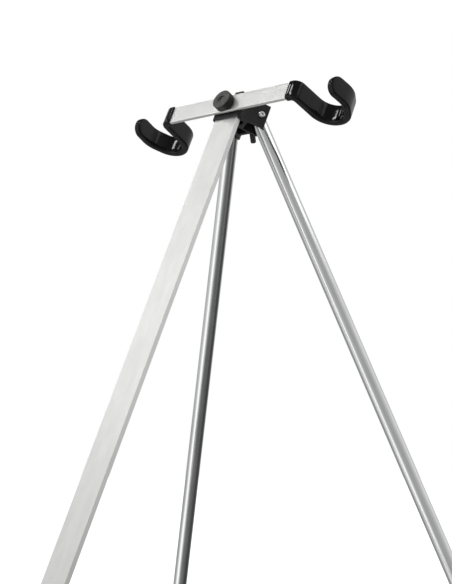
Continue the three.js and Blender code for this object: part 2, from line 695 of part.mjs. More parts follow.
function buildHingeScrew(side) {
  const hinge = hingeGroups[side.name];
  const face = FORK_OUTER + GAP;
  const headTop = face + HINGE_HEAD_THICK;
  const shankEnd = -FORK_OUTER - GAP - HINGE_NUT_THICK - HINGE_SCREW_PAST_NUT;
  const body = turned([
    [0, shankEnd],
    [HINGE_SCREW_RADIUS, shankEnd],
    [HINGE_SCREW_RADIUS, face],
    [HINGE_HEAD_RADIUS, face],
    [HINGE_HEAD_RADIUS, headTop - HINGE_HEAD_ROUND],
    [HINGE_HEAD_RADIUS - HINGE_HEAD_ROUND, headTop],
    [0, headTop],
  ], SMALL_SIDES);
  const socket = rod(HINGE_SOCKET_RADIUS, headTop - HINGE_SOCKET_DEPTH, headTop + OVERRUN, HEX_SIDES);
  const screw = solid(body).subtract(solid(socket));
  const turn = new THREE.Matrix4().makeRotationY(side.sign * Math.PI / 2);
  addMesh(hinge, `hinge_screw_${side.name}`, shapeOf(screw), steel).applyMatrix4(turn);

  const nutOuter = -FORK_OUTER - GAP;
  const nutInner = nutOuter - HINGE_NUT_THICK;
  const nut = solid(rod(HINGE_NUT_RADIUS, nutInner, nutOuter, HEX_SIDES))
    .subtract(solid(rod(HINGE_SCREW_RADIUS + GAP, nutInner - OVERRUN, nutOuter + OVERRUN)));
  addMesh(hinge, `hinge_nut_${side.name}`, shapeOf(nut), steel).applyMatrix4(turn);
}

function buildUpperLeg(side) {
  const leg = legGroups[side.name];
  const bottom = TUBE_ABOVE_HINGE - UPPER_TUBE_LENGTH;
  const crossHole = solid(alongX(HINGE_SCREW_RADIUS + GAP, -FORK_OUTER, FORK_OUTER));
  const tube = solid(pipe(UPPER_TUBE_RADIUS, UPPER_TUBE_BORE, bottom, TUBE_ABOVE_HINGE)).subtract(crossHole);
  addMesh(leg, `upper_tube_${side.name}`, shapeOf(tube), polishedTube);

  const plugTop = TUBE_ABOVE_HINGE + GAP;
  const plugRadius = UPPER_TUBE_BORE - GAP;
  const plug = solid(turned([
    [0, plugTop - PLUG_LENGTH],
    [plugRadius, plugTop - PLUG_LENGTH],
    [plugRadius, plugTop],
    [UPPER_TUBE_RADIUS, plugTop],
    [UPPER_TUBE_RADIUS, plugTop + PLUG_FLANGE],
    [0, plugTop + PLUG_FLANGE],
  ])).subtract(crossHole);
  addMesh(leg, `hinge_plug_${side.name}`, shapeOf(plug), hubPlastic);
}

// Fluted knob about Z between two levels
function flutedKnob(radius, low, high) {
  const body = solid(turned([
    [0, low],
    [radius - KNOB_CHAMFER, low],
    [radius, low + KNOB_CHAMFER],
    [radius, high - KNOB_CHAMFER],
    [radius - KNOB_CHAMFER, high],
    [0, high],
  ]));
  const flutes = [];
  for (let index = 0; index < LOCK_KNOB_FLUTES; index += 1) {
    const angle = 2 * Math.PI * index / LOCK_KNOB_FLUTES;
    const reach = radius + LOCK_KNOB_FLUTE_RADIUS / 2;
    flutes.push(solid(rod(LOCK_KNOB_FLUTE_RADIUS, low - OVERRUN, high + OVERRUN),
      moved(reach * Math.cos(angle), reach * Math.sin(angle), 0)));
  }
  return without(body, flutes);
}

function buildLock(side) {
  const leg = legGroups[side.name];
  const tubeEnd = TUBE_ABOVE_HINGE - UPPER_TUBE_LENGTH;
  const top = tubeEnd + COLLAR_ON_UPPER;
  const low = tubeEnd - COLLAR_ON_LOWER;
  const outer = UPPER_TUBE_RADIUS + GAP + COLLAR_WALL;
  const body = solid(turned([
    [0, low],
    [outer - COLLAR_CHAMFER, low],
    [outer, low + COLLAR_CHAMFER],
    [outer, top - COLLAR_CHAMFER],
    [outer - COLLAR_CHAMFER, top],
    [0, top],
  ]));
  const screwAt = tubeEnd - COLLAR_ON_LOWER / 2;
  const bossEnd = outer + COLLAR_BOSS_LENGTH;
  // The lock screws point back and away from the folded legs
  const screwPlace = moved(0, 0, screwAt).multiply(new THREE.Matrix4().makeRotationX(-Math.PI / 2));
  const boss = solid(rod(COLLAR_BOSS_RADIUS, 0, bossEnd), screwPlace);
  const collar = without(joined([body, boss]), [
    solid(rod(UPPER_TUBE_RADIUS + GAP, tubeEnd - GAP, top + OVERRUN, TUBE_SIDES)),
    solid(rod(LOWER_TUBE_RADIUS + GAP, low - OVERRUN, top, TUBE_SIDES)),
    solid(rod(LOCK_STUD_RADIUS + GAP, 0, bossEnd + OVERRUN), screwPlace),
  ]);
  addMesh(leg, `lock_collar_${side.name}`, shapeOf(collar), hubPlastic);

  const knobLow = bossEnd + GAP;
  const knobHigh = knobLow + LOCK_KNOB_THICK;
  const knob = without(flutedKnob(LOCK_KNOB_RADIUS, knobLow, knobHigh), [
    solid(rod(LOCK_STUD_RADIUS + GAP, knobLow - OVERRUN, knobLow + LOCK_STUD_IN_KNOB + GAP)),
  ]);
  addMesh(leg, `lock_knob_${side.name}`, shapeOf(knob), knobPlastic).applyMatrix4(screwPlace);
  const stud = rod(LOCK_STUD_RADIUS, LOWER_TUBE_RADIUS + GAP, knobLow + LOCK_STUD_IN_KNOB);
  addMesh(leg, `lock_stud_${side.name}`, stud, steel).applyMatrix4(screwPlace);
}

function buildLowerLeg(side) {
  const leg = legGroups[side.name];
  leg.updateWorldMatrix(true, false);
  const hingeHeight = new THREE.Vector3().setFromMatrixPosition(leg.matrixWorld).z;
  const down = new THREE.Vector3(0, 0, -1).transformDirection(leg.matrixWorld);
  const toGround = hingeHeight / -down.z;
  const bottom = -toGround + REAR_FOOT_SOLE;
  const top = TUBE_ABOVE_HINGE - UPPER_TUBE_LENGTH + LOWER_TUBE_INSIDE_UPPER;
  const tube = pipe(LOWER_TUBE_RADIUS, LOWER_TUBE_BORE, bottom, top);
  addMesh(leg, `lower_tube_${side.name}`, tube, polishedTube);

  const plugRadius = LOWER_TUBE_BORE - GAP;
  const plugLow = top + GAP - LOWER_PLUG_LENGTH;
  const plug = turned([
    [0, plugLow],
    [plugRadius, plugLow],
    [plugRadius, top + GAP],
    [LOWER_TUBE_RADIUS, top + GAP],
    [LOWER_TUBE_RADIUS, top + GAP + LOWER_PLUG_FLANGE],
    [0, top + GAP + LOWER_PLUG_FLANGE],
  ]);
  addMesh(leg, `lower_tube_plug_${side.name}`, plug, nylon);

  const bootRadius = LOWER_TUBE_RADIUS + GAP + REAR_FOOT_WALL;
  const bootTop = bottom + REAR_FOOT_LENGTH - REAR_FOOT_SOLE;
  const boot = turned([
    [0, bottom - REAR_FOOT_SOLE * 2],
    [bootRadius, bottom - REAR_FOOT_SOLE * 2],
    [bootRadius, bottom + REAR_FOOT_SOLE],
    [LOWER_TUBE_RADIUS + GAP + REAR_FOOT_WALL / 2, bootTop],
    [0, bootTop],
  ]);
  const bore = rod(LOWER_TUBE_RADIUS + GAP, bottom - GAP, bootTop + OVERRUN, TUBE_SIDES);
  const foot = without(solid(boot, leg.matrixWorld), [solid(bore, leg.matrixWorld), ground()]);
  addMesh(stand, `rear_foot_${side.name}`, shapeOf(foot), rubber);
}

// Lower bar that carries the rod butts, clamped round the flat leg
function buildButtRest() {
  const carriage = new THREE.Group();
  carriage.position.z = -BUTT_BAR_DOWN;
  head.add(carriage);

  const bracketFront = LEG_FRONT - GAP - BRACKET_WALL;
  const bracketBack = LEG_BACK + GAP + BRACKET_WALL;
  const bracketHalf = LEG_WIDTH / 2 + GAP + BRACKET_WALL;
  const legMiddle = (LEG_FRONT + LEG_BACK) / 2;
  const shell = solid(prism(
    roundedOutline(bracketHalf, (bracketBack - bracketFront) / 2, BRACKET_CORNER),
    -BRACKET_HEIGHT / 2, BRACKET_HEIGHT / 2,
  ), moved(0, legMiddle, 0));
  const bossBack = bracketBack + BRACKET_BOSS_LENGTH;
  const boss = solid(alongY(BRACKET_BOSS_RADIUS, legMiddle, bossBack));
  const barBack = bracketFront - GAP;
  const barFront = barBack - BAR_THICK;
  const screwAt = [-BRACKET_SCREW_SPREAD, BRACKET_SCREW_SPREAD];
  const biteEnd = bracketFront + BRACKET_SCREW_BITE;
  const screwHole = (x) => solid(
    alongY(BRACKET_SCREW_RADIUS + GAP, barFront - OVERRUN, biteEnd + GAP).translate(x, 0, 0),
  );
  const bracket = without(joined([shell, boss]), [
    solid(block(
      -LEG_WIDTH / 2 - GAP, LEG_WIDTH / 2 + GAP, LEG_FRONT - GAP, LEG_BACK + GAP,
      -BRACKET_HEIGHT, BRACKET_HEIGHT,
    )),
    solid(alongY(BUTT_STUD_RADIUS + GAP, legMiddle, bossBack + OVERRUN)),
    ...screwAt.map(screwHole),
  ]);
  addMesh(carriage, 'butt_bracket', shapeOf(bracket), hubPlastic);

  const [cupX] = restCentre();
  const barHalf = cupX + CUP_PAD_WIDTH / 2 + BUTT_BAR_CORNER;
  const cupScrewZ = [-CUP_SCREW_SPREAD / 2, CUP_SCREW_SPREAD / 2];
  const cupHole = (x, z, back) => solid(
    alongY(CUP_SCREW_RADIUS + GAP, barFront - OVERRUN, back).translate(x, 0, z),
  );
  const cupHoles = SIDES.flatMap(({ sign }) => (
    cupScrewZ.map((z) => cupHole(sign * cupX, z, barBack + OVERRUN))
  ));
  const barOutline = roundedOutline(barHalf, BAR_HEIGHT / 2, BUTT_BAR_CORNER);
  const strip = prism(barOutline, -BAR_THICK / 2, BAR_THICK / 2)
    .rotateX(Math.PI / 2).translate(0, (barFront + barBack) / 2, 0);
  const bar = without(solid(strip), screwAt.map(screwHole).concat(cupHoles));
  addMesh(carriage, 'butt_bar', shapeOf(bar), brushedAluminium);

  for (const { name, sign } of SIDES) {
    const screw = panHead(
      BRACKET_SCREW_RADIUS, BRACKET_SCREW_HEAD_RADIUS, BRACKET_SCREW_HEAD_THICK,
      barFront - GAP, biteEnd,
    );
    const mesh = addMesh(carriage, `bracket_screw_${name}`, screw, steel);
    mesh.position.x = sign * BRACKET_SCREW_SPREAD;
  }

  const padBack = barBack + GAP + CUP_PAD;
  const cupCentre = padBack + CUP_RADIUS - CUP_WALL;
  const cupLow = -CUP_LENGTH * CUP_BAR_SHARE;
  const screwTip = padBack + CUP_WALL - GAP;
  for (const { name, sign } of SIDES) {
    const shell = solid(
      rod(CUP_RADIUS, cupLow, cupLow + CUP_LENGTH, TUBE_SIDES),
      moved(sign * cupX, cupCentre, 0),
    );
    const pad = solid(block(
      sign * cupX - CUP_PAD_WIDTH / 2, sign * cupX + CUP_PAD_WIDTH / 2,
      barBack + GAP, cupCentre, -BAR_HEIGHT / 2, BAR_HEIGHT / 2,
    ));
    const cup = without(joined([shell, pad]), [
      solid(rod(CUP_RADIUS - CUP_WALL, cupLow + CUP_BASE, cupLow + CUP_LENGTH + OVERRUN, TUBE_SIDES),
        moved(sign * cupX, cupCentre, 0)),
      ...cupScrewZ.map((z) => cupHole(sign * cupX, z, screwTip + GAP)),
    ]);
    addMesh(carriage, `butt_cup_${name}`, shapeOf(cup), hubPlastic);
    for (const [level, z] of [['lower', cupScrewZ[0]], ['upper', cupScrewZ[1]]]) {
      const screw = panHead(
        CUP_SCREW_RADIUS, CUP_SCREW_HEAD_RADIUS, CUP_SCREW_HEAD_THICK, barFront - GAP, screwTip - GAP,
      );
      addMesh(carriage, `cup_screw_${name}_${level}`, screw, steel).position.set(sign * cupX, 0, z);
    }
  }

  const knobLow = bossBack + GAP;
  const turnBack = new THREE.Matrix4().makeRotationX(-Math.PI / 2);
  const knob = without(flutedKnob(BUTT_KNOB_RADIUS, knobLow, knobLow + BUTT_KNOB_THICK), [
    solid(rod(BUTT_STUD_RADIUS + GAP, knobLow - OVERRUN, knobLow + BUTT_STUD_IN_KNOB + GAP)),
  ]);
  addMesh(carriage, 'butt_knob', shapeOf(knob), knobPlastic).applyMatrix4(turnBack);
  const stud = rod(BUTT_STUD_RADIUS, LEG_BACK + GAP, knobLow + BUTT_STUD_IN_KNOB);
  addMesh(carriage, 'butt_stud', stud, steel).applyMatrix4(turnBack);
}

// Pan-head screw along Y: the head stands in front of its seat
function panHead(shank, head, headThick, seat, tip) {
  return turned([
    [0, seat - headThick],
    [head - headThick / 2, seat - headThick],
    [head, seat - headThick / 2],
    [head, seat],
    [shank, seat],
    [shank, tip],
    [0, tip],
  ], SMALL_SIDES).rotateX(-Math.PI / 2);
}

// Middle of a rod rest in the plan
function restCentre() {
  const [x, y, heading] = cupStart;
  return [
    x + REST_CUP_RADIUS * Math.sin(heading),
    y - REST_CUP_RADIUS * Math.cos(heading) + barCentre,
  ];
}

buildHub();
buildCrossbar();
buildSleeves();
buildClamp();
buildFrontLeg();
buildBallastStud();
for (const side of SIDES) {
  buildHingeScrew(side);
  buildUpperLeg(side);
  buildLock(side);
  buildLowerLeg(side);
}
buildButtRest();

// The origin is on the ground, under the middle of the whole stand
const bounds = new THREE.Box3().setFromObject(stand);
const middle = bounds.getCenter(new THREE.Vector3());
stand.position.set(-middle.x, -middle.y, -bounds.min.z);

export default stand;
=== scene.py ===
"""Looks of the surf rod tripod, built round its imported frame. Metres, +Z up.

Sweeps and lathes replace the bent strip, its sleeves, the tubes and the knobs. The
other solids are replaced by copies of themselves with softened edges.
"""

import json
import math

import bmesh
import bpy
from mathutils import Matrix, Vector


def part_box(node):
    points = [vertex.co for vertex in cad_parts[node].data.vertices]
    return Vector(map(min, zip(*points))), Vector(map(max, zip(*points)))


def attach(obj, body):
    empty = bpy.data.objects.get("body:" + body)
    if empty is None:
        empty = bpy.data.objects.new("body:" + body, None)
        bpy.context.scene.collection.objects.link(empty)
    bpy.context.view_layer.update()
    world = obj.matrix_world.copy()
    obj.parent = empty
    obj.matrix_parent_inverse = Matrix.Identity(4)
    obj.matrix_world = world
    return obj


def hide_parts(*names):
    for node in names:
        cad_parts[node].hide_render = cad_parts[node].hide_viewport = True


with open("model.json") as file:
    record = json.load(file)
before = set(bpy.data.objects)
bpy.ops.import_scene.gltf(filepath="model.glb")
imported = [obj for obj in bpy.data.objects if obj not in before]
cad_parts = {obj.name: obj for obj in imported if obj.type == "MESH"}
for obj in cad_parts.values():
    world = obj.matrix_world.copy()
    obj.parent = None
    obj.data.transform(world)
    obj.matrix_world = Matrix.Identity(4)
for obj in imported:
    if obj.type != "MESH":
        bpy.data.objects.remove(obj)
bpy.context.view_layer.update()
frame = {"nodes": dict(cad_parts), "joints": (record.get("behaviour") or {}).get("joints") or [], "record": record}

MM = 0.001
WELD = 0.001 * MM
LOCAL_PLACE = "local_place"

# Crossbar and its rod rests, in the frame of the strip's front face
BAR_HEIGHT = 25 * MM
BAR_THICK = 4.5 * MM
BAR_EDGE = 0.6 * MM
BAR_BARE_HALF = 103 * MM
BAR_MIDDLE_FROM_CLAMP = 3.8 * MM
REST_SLEEVE_LEAD = 4.7 * MM
REST_FIRST_RADIUS = 7.7 * MM
REST_FIRST_TURN = math.radians(86.2)
REST_INNER_ARM = 31.8 * MM
REST_CUP_RADIUS = 25.4 * MM
REST_CUP_TURN = math.radians(144.4)
REST_OUTER_ARM = 10.5 * MM
REST_TIP_RADIUS = 27.6 * MM
REST_TIP_TURN = math.radians(38.4)
REST_TIP_STRAIGHT = 11 * MM
SLEEVE_HEIGHT = 27.5 * MM
SLEEVE_THICK = 9.8 * MM
SLEEVE_EDGE = 3.1 * MM
SLEEVE_LIP = 1.2 * MM
SLEEVE_TIP_CAP = 1.2 * MM
BEND_STEP = math.radians(5)
EDGE_STEPS = 6
TIP_STEPS = 28

# Lathed pieces
ROUND_SIDES = 96
ROUND_STEPS = 5
KNOB_EDGE = 1.1 * MM
KNOB_HEX_RADIUS = 6 * MM
KNOB_HEX_DEPTH = 5.6 * MM
KNOB_DISH_RADIUS = 7.4 * MM
KNOB_DISH_DEPTH = 0.5 * MM
TUBE_WALL = 1.2 * MM
TUBE_EDGE = 0.25 * MM
SMALL_KNOB_EDGE = 0.9 * MM
SMALL_KNOB_HUB_SHARE = 0.62
SMALL_KNOB_HUB_STEP = 0.4 * MM
FLUTE_COUNT = 6
FLUTE_DEPTH_SHARE = 0.16

# Noise that comes out mostly between these, and the size of a wave texture's band
NOISE_LOW = 0.3
NOISE_HIGH = 0.7
WAVE_UNIT = math.tau / 20

# Painted sheen: the clamp knob's face is coloured lighter, standing in for the light that falls on it from the
# front
SHEEN_BLEND = 0.2 * MM
PAINTED_SHEEN_DARK = (0.058, 0.059, 0.054)
PAINTED_SHEEN_LIGHT = (0.085, 0.086, 0.078)

# Widths of the rounded edges on the other solids
HUB_EDGE = 0.7 * MM
LEG_EDGE = 0.55 * MM
FOOT_EDGE = 1.2 * MM
COLLAR_EDGE = 0.6 * MM
BRACKET_EDGE = 0.8 * MM
THIN_EDGE = 0.5 * MM
NUT_EDGE = 0.35 * MM
FASTENER_EDGE = 0.3 * MM
STUD_EDGE = 0.25 * MM
EDGE_CUTS = 3
EDGE_ANGLE = math.radians(35)
FLAT_ANGLE = math.radians(1)
CREASE_ANGLE = math.radians(40)

# Camera that matches the photograph
CAMERA_PLACE = Vector((1.3912, -1.35166, 0.62237))
CAMERA_FORWARD = Vector((-0.6803184, 0.7241900, 0.1127643))
CAMERA_UP = Vector((0.0772081, -0.0821870, 0.9936218))
CAMERA_SENSOR = 36
CAMERA_LENS = 98.12
CAMERA_REACH = 400

# Stage
FLOOR_HALF = 150
FLOOR_DROP = 0.2 * MM
LIGHT_AIM = Vector((0.11, 0.1, 1.08))
LIGHT_DISTANCE = 3
# Degrees round from +X and up, width, height, and brightness
SOFTBOXES = {
    "front_left": ((-157.9, 46.6), 0.15, 0.15, 13),
    "front_high": ((-112, 55.8), 1.1, 0.21, 20),
    "left": ((-152, 32), 1.4, 0.7, 1.1),
    "right_high": ((24, 40), 2.2, 0.8, 1.1),
    "rear": ((150, 30), 2.4, 1.6, 0.8),
}

# Room that the metal reflects: degrees round from +X, and brightness
RING_TOP = 2
RING_ABOVE = [
    (-180, 0.50), (-152, 0.85), (-131, 0.90), (-120, 1.40), (-103, 1.50), (-93, 0.80), (-80, 0.62),
    (-58, 0.50), (-25, 0.52), (5, 0.70), (47, 1.00), (90, 0.75), (135, 0.65), (180, 0.55),
]
RING_BELOW = [
    (-180, 0.36), (-166, 0.40), (-143, 0.62), (-121, 1.30), (-104, 1.70), (-88, 0.90),
    (-64, 0.34), (-47, 0.20), (4, 0.15), (48, 0.07), (76, 0.10), (120, 0.42), (180, 0.36),
]
RING_BLEND = (-0.22, 0.02)
CEILING_BLEND = (0.5, 0.75)
CEILING_GLOW = 0.28
GROUND_BLEND = (-0.72, -0.9)
GROUND_GLOW = 0.6

record = frame["record"]
joints = {joint["name"]: joint for joint in frame["joints"]}
body_of = {}
for body, members in record["behaviour"]["bodies"].items():
    for member in members:
        body_of[member] = body
slot_of = {part["node"]: part["material_slot"] for part in record["subparts"]}


# Places
def place_of(origin, x_axis, y_axis):
    """Matrix of a local frame at origin. z is square to both axes."""
    x_axis = Vector(x_axis).normalized()
    y_axis = Vector(y_axis).normalized()
    z_axis = x_axis.cross(y_axis)
    place = Matrix((x_axis, y_axis, z_axis)).transposed().to_4x4()
    place.translation = Vector(origin)
    return place


def axis_place(joint_name, side_hint):
    """Local frame of a knob: z runs along the joint's axis."""
    joint = joints[joint_name]
    z_axis = Vector(joint["axis"]).normalized()
    x_axis = Vector(side_hint)
    x_axis = (x_axis - z_axis * x_axis.dot(z_axis)).normalized()
    return place_of(joint["pos_m"], x_axis, z_axis.cross(x_axis))


swivel = joints["crossbar_swivel"]
FACE = place_of(swivel["pos_m"], (1, 0, 0), -Vector(swivel["axis"]))
BAR = FACE @ Matrix.Translation((BAR_MIDDLE_FROM_CLAMP, 0, 0))
LEG = {}
for side in ("right", "left"):
    fold = joints[side + "_leg_fold"]
    x_axis = -Vector(fold["axis"]).normalized()
    z_axis = -Vector(joints[side + "_leg_slide"]["axis"]).normalized()
    LEG[side] = place_of(fold["pos_m"], x_axis, z_axis.cross(x_axis))


def local_box(node, place):
    """Lowest and highest corner of a CAD node, in a local frame."""
    back = place.inverted()
    points = [back @ vertex.co for vertex in frame["nodes"][node].data.vertices]
    low = Vector([min(point[axis] for point in points) for axis in range(3)])
    high = Vector([max(point[axis] for point in points) for axis in range(3)])
    return low, high


# Materials
class Look:
    """A principled material whose colour, gloss and bump vary over the surface, in the
    local frame of the piece."""

    def __init__(self, name):
        self.material = bpy.data.materials.new(name)
        self.material.use_nodes = True
        self.nodes = self.material.node_tree.nodes
        self.links = self.material.node_tree.links
        self.shader = self.nodes["Principled BSDF"]
        local = self.nodes.new("ShaderNodeAttribute")
        local.attribute_name = LOCAL_PLACE
        self.place = local.outputs["Vector"]
        self.normal = None

    def fixed(self, **values):
        for name, value in values.items():
            self.shader.inputs[name.replace("_", " ")].default_value = value
        return self

    def noise(self, sizes, detail=4, roughness=0.55, twist=0):
        """Noise whose blobs have these sizes along x, y and z."""
        mapping = self.nodes.new("ShaderNodeMapping")
        mapping.inputs["Scale"].default_value = [1 / size for size in sizes]
        self.links.new(self.place, mapping.inputs["Vector"])
        texture = self.nodes.new("ShaderNodeTexNoise")
        texture.inputs["Scale"].default_value = 1
        texture.inputs["Detail"].default_value = detail
        texture.inputs["Roughness"].default_value = roughness
        texture.inputs["Distortion"].default_value = twist
        self.links.new(mapping.outputs["Vector"], texture.inputs["Vector"])
        return texture.outputs["Fac"]

    def ribs(self, size, axis):
        """Even ribs along one axis."""
        wave = self.nodes.new("ShaderNodeTexWave")
        wave.bands_direction = axis
        wave.inputs["Scale"].default_value = WAVE_UNIT / size
        self.links.new(self.place, wave.inputs["Vector"])
        return wave.outputs["Fac"]

    def ranged(self, source, from_low, from_high, to_low, to_high):
        node = self.nodes.new("ShaderNodeMapRange")
        node.inputs["From Min"].default_value = from_low
        node.inputs["From Max"].default_value = from_high
        node.inputs["To Min"].default_value = to_low
        node.inputs["To Max"].default_value = to_high
        self.links.new(source, node.inputs["Value"])
        return node.outputs["Result"]

    def colours(self, source, dark, light, start=NOISE_LOW, end=NOISE_HIGH):
        ramp = self.nodes.new("ShaderNodeValToRGB")
        ramp.color_ramp.elements[0].position = start
        ramp.color_ramp.elements[0].color = (*dark, 1)
        ramp.color_ramp.elements[1].position = end
        ramp.color_ramp.elements[1].color = (*light, 1)
        self.links.new(source, ramp.inputs["Fac"])
        self.links.new(ramp.outputs["Color"], self.shader.inputs["Base Color"])
        return self

    def painted_sheen_above(self, height, source, dark, light):
        """Painted sheen: lighter colours where the piece reaches over this height along z, standing in for light
        falling on that face.
        """
        below = self.shader.inputs["Base Color"].links[0].from_socket
        self.colours(source, dark, light)
        above = self.shader.inputs["Base Color"].links[0].from_socket
        split = self.nodes.new("ShaderNodeSeparateXYZ")
        self.links.new(self.place, split.inputs["Vector"])
        blend = self.nodes.new("ShaderNodeMixRGB")
        over = self.ranged(split.outputs["Z"], height - SHEEN_BLEND, height, 0, 1)
        self.links.new(over, blend.inputs["Fac"])
        self.links.new(below, blend.inputs["Color1"])
        self.links.new(above, blend.inputs["Color2"])
        self.links.new(blend.outputs["Color"], self.shader.inputs["Base Color"])
        return self

    def gloss(self, source, low, high):
        roughness = self.ranged(source, NOISE_LOW, NOISE_HIGH, low, high)
        self.links.new(roughness, self.shader.inputs["Roughness"])
        return self

    def bump(self, source, depth, strength=1.0):
        node = self.nodes.new("ShaderNodeBump")
        node.inputs["Distance"].default_value = depth
        node.inputs["Strength"].default_value = strength
        self.links.new(source, node.inputs["Height"])
        if self.normal is not None:
            self.links.new(self.normal, node.inputs["Normal"])
        self.normal = node.outputs["Normal"]
        self.links.new(self.normal, self.shader.inputs["Normal"])
        return self


def stretched(along, length, width):
    """Blob sizes of a grain that runs along one axis."""
    return [length if axis == along else width for axis in "xyz"]


def even(size):
    """Blob sizes that are alike all ways."""
    return [size, size, size]


def mill_aluminium(name, along):
    """Extruded flat bar: fine lines along it, and a cloudy satin gloss."""
    look = Look(name).fixed(Metallic=1.0)
    line_sizes = stretched(along, length=90 * MM, width=0.35 * MM)
    lines = look.noise(line_sizes, detail=5, roughness=0.7)
    clouds = look.noise(stretched(along, length=40 * MM, width=14 * MM), detail=3)
    scuff_sizes = stretched(along, length=3 * MM, width=2 * MM)
    scuffs = look.noise(scuff_sizes, detail=6, roughness=0.75)
    look.colours(clouds, dark=(0.84, 0.845, 0.835), light=(0.91, 0.91, 0.89))
    look.gloss(lines, low=0.38, high=0.46)
    look.bump(lines, depth=0.002 * MM, strength=0.5)
    look.bump(scuffs, depth=0.002 * MM, strength=0.35)
    return look.material


def drawn_tube(name):
    """Polished drawn tube: faint die lines along z, small dull patches."""
    look = Look(name).fixed(Metallic=1.0)
    line_sizes = stretched("z", length=260 * MM, width=1.4 * MM)
    lines = look.noise(line_sizes, detail=2, roughness=0.5)
    patches = look.noise(stretched("z", length=45 * MM, width=10 * MM), detail=4)
    look.colours(patches, dark=(0.78, 0.785, 0.79), light=(0.86, 0.865, 0.87))
    look.gloss(patches, low=0.13, high=0.22)
    look.bump(lines, depth=0.005 * MM, strength=0.5)
    return look.material


def moulded_plastic(name, dark, light, roughness, grain, sheen_height=None):
    """Moulded nylon or similar: fine spark grain, faint flow marks and dust. Above the given height along z it is
    coloured lighter: a painted sheen that stands in for light falling on that face."""
    look = Look(name).fixed(IOR=1.4)
    pores = look.noise(even(grain), detail=2)
    flow = look.noise(sizes=[16 * MM, 9 * MM, 22 * MM], detail=3, twist=0.6)
    dust = look.noise(even(size=2.4 * MM), detail=7, roughness=0.7)
    look.colours(dust, dark, light, start=0.42, end=0.75)
    # Painted sheen: above this height the colours are lighter, standing in for light on the face
    if sheen_height is not None:
        look.painted_sheen_above(sheen_height, dust, dark=PAINTED_SHEEN_DARK, light=PAINTED_SHEEN_LIGHT)
    look.gloss(flow, *roughness)
    look.bump(pores, depth=0.035 * MM, strength=0.6)
    look.bump(flow, depth=0.12 * MM, strength=0.25)
    return look.material


def dipped_pvc(name):
    """Thick glossy black sleeve with a slightly wavy skin."""
    look = Look(name).fixed(IOR=1.32)
    waves = look.noise(sizes=[12 * MM, 10 * MM, 14 * MM], detail=1, twist=0.4)
    skin = look.noise(even(size=1.6 * MM), detail=3)
    smears = look.noise(even(size=7 * MM), detail=6, roughness=0.7)
    look.colours(smears, dark=(0.002, 0.002, 0.0022), light=(0.006, 0.006, 0.0063))
    look.gloss(smears, low=0.05, high=0.13)
    look.bump(waves, depth=0.32 * MM, strength=0.5)
    look.bump(skin, depth=0.004 * MM, strength=0.4)
    return look.material


def plated_steel(name, dark, light, roughness):
    """Turned and plated fastener: fine lay marks and a mottled gloss."""
    look = Look(name).fixed(Metallic=1.0)
    lay = look.noise(even(size=0.25 * MM), detail=5, roughness=0.7)
    mottle = look.noise(even(size=1.8 * MM), detail=4)
    look.colours(mottle, dark, light)
    look.gloss(mottle, *roughness)
    look.bump(lay, depth=0.01 * MM, strength=0.6)
    return look.material


def ribbed_rubber(name, rib_size):
    """Matt rubber with shallow grip ribs round it and rubbed patches."""
    look = Look(name).fixed(IOR=1.45)
    rubbed = look.noise(even(size=6 * MM), detail=6, roughness=0.7)
    pores = look.noise(even(size=0.5 * MM), detail=2)
    look.colours(rubbed, dark=(0.014, 0.014, 0.014), light=(0.032, 0.031, 0.030))
    look.gloss(rubbed, low=0.62, high=0.88)
    look.bump(look.ribs(rib_size, "Z"), depth=0.5 * MM, strength=0.8)
    look.bump(pores, depth=0.05 * MM, strength=0.5)
    return look.material


def plain_nylon(name):
    """Off-white machined nylon."""
    look = Look(name).fixed(IOR=1.53, Subsurface_Weight=0.1)
    cloud = look.noise(even(size=5 * MM), detail=3)
    turned_lines = look.noise(even(size=0.4 * MM), detail=2)
    look.colours(cloud, dark=(0.62, 0.60, 0.54), light=(0.74, 0.72, 0.66))
    look.gloss(cloud, low=0.4, high=0.55)
    look.bump(turned_lines, depth=0.03 * MM, strength=0.5)
    return look.material


bar_look = mill_aluminium("bar_aluminium", "x")
leg_look = mill_aluminium("leg_aluminium", "z")
tube_look = drawn_tube("tube_aluminium")
hub_look = moulded_plastic(
    "hub_plastic",
    dark=(0.007, 0.007, 0.0074),
    light=(0.013, 0.013, 0.0134),
    roughness=(0.40, 0.56),
    grain=0.45 * MM,
)
knob_look = moulded_plastic(
    "knob_plastic",
    dark=(0.015, 0.015, 0.0153),
    light=(0.026, 0.026, 0.0263),
    roughness=(0.26, 0.38),
    grain=0.6 * MM,
)
pvc_look = dipped_pvc("sleeve_pvc")
steel_look = plated_steel(
    "zinc_steel",
    dark=(0.50, 0.51, 0.53),
    light=(0.72, 0.73, 0.75),
    roughness=(0.2, 0.38),
)
dark_look = plated_steel(
    "blackened_steel",
    dark=(0.10, 0.10, 0.105),
    light=(0.20, 0.20, 0.21),
    roughness=(0.25, 0.45),
)
rubber_look = ribbed_rubber("foot_rubber", rib_size=5 * MM)
cap_look = ribbed_rubber("cap_rubber", rib_size=40 * MM)
nylon_look = plain_nylon("nylon")

LOOK_OF_SLOT = {
    "brushed_aluminium": bar_look,
    "polished_tube": tube_look,
    "steel": steel_look,
    "dark_steel": dark_look,
    "hub_plastic": hub_look,
    "knob_plastic": knob_look,
    "sleeve_pvc": pvc_look,
    "rubber": rubber_look,
    "nylon": nylon_look,
}


# Pieces
def add_piece(name, mesh, place, look, *nodes):
    """A visible piece that stands for CAD nodes and rides on their body. Its mesh is
    drawn in the local frame, which its material's grain follows."""
    mesh.materials.clear()
    mesh.materials.append(look)
    local = mesh.attributes.new(LOCAL_PLACE, "FLOAT_VECTOR", "POINT")
    for vertex, value in zip(mesh.vertices, local.data):
        value.vector = vertex.co
    mesh.transform(place)
    piece = bpy.data.objects.new(name, mesh)
    bpy.context.scene.collection.objects.link(piece)
    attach(piece, body_of[nodes[0]])
    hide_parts(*nodes)
    return piece


